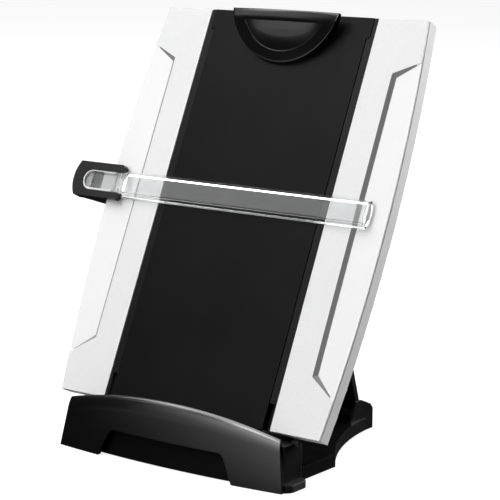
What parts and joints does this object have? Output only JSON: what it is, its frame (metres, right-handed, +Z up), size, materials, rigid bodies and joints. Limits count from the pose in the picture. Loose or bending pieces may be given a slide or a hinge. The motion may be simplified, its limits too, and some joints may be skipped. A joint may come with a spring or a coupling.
{
  "type": "copy holder with line guide",
  "caption": "Desk copy holder: leaning board with silver wings, sliding centre panel and sprung clip, clear line guide on an edge slider, bowed base and easel strut.",
  "frame": {"origin": "on the desk, mid-width, at the centre of the base's front rubber strip", "axes": "+X to the reader's right, +Y away from the reader, +Z up"},
  "size_m": [0.3035, 0.1941, 0.3374],
  "materials": {
    "gloss_black": "gloss",
    "satin_black": "satin",
    "matt_black": "fine textured",
    "silver_front": "satin silver paint",
    "silver_shell": "satin",
    "white_board": "gloss",
    "clear_plastic": "clear",
    "rubber": "matt",
    "felt": "felt",
    "steel": "plain",
    "rail_plastic": "satin"
  },
  "bodies": {
    "base": {"base_tray": "satin_black", "front_skirt": "gloss_black", "recess_panel": "satin_black", "left_hinge_post": "satin_black", "right_hinge_post": "satin_black", "left_front_foot": "rubber", "right_front_foot": "rubber", "document_ledge": "satin_black", "front_rubber_strip": "rubber", "rear_rubber_strip": "rubber", "left_hinge_pin": "steel", "right_hinge_pin": "steel"},
    "board": {"back_shell": "silver_shell", "left_wing": "silver_front", "right_wing": "silver_front", "centre_frame": "satin_black", "memo_board": "white_board", "friction_strips": "felt", "left_hinge_arm": "satin_black", "right_hinge_arm": "satin_black", "board_screws": "steel", "strut_bracket": "satin_black", "strut_pin": "steel", "bracket_screws": "steel", "guide_rail": "rail_plastic"},
    "strut": {"strut": "satin_black", "strut_foot_pad": "rubber"},
    "slider": {"slider_housing": "gloss_black", "slider_jaw": "satin_black", "slider_leaf_spring": "steel", "slider_screws": "steel", "guide_pins": "steel"},
    "guide": {"guide_bar": "clear_plastic"},
    "panel": {"centre_panel": "matt_black", "clip_bracket": "satin_black", "clip_pin": "steel", "clip_spring": "steel"},
    "clip": {"clip_lever": "gloss_black", "clip_pad": "rubber"}
  },
  "joints": [
    {"name": "board_tilt", "type": "hinge", "parent": "base", "child": "board", "pos_m": [0, 0.01662, 0.02608], "axis": [1, 0, 0], "range_deg": [0, 4]},
    {"name": "strut_swing", "type": "hinge", "parent": "board", "child": "strut", "pos_m": [0, 0.11428, 0.21333], "axis": [1, 0, 0], "range_deg": [-13.2, 0]},
    {"name": "panel_slide", "type": "slide", "parent": "board", "child": "panel", "axis": [0, 0.4242, 0.9056], "range_m": [0, 0.075]},
    {"name": "clip_press", "type": "hinge", "parent": "panel", "child": "clip", "pos_m": [0, 0.13674, 0.31998], "axis": [1, 0, 0], "range_deg": [-16, 0], "stiffness_Nm_per_rad": 0.4, "springref_deg": 17.19},
    {"name": "guide_slide", "type": "slide", "parent": "board", "child": "slider", "axis": [0, 0.4242, 0.9056], "range_m": [-0.13, 0.09]},
    {"name": "guide_lift", "type": "hinge", "parent": "slider", "child": "guide", "pos_m": [-0.1215, 0.07944, 0.19553], "axis": [0, -0.4242, -0.9056], "range_deg": [0, 6]}
  ],
  "couplings": [
    {"joint": "strut_swing", "follows": "board_tilt", "ratio": -3.3}
  ]
}
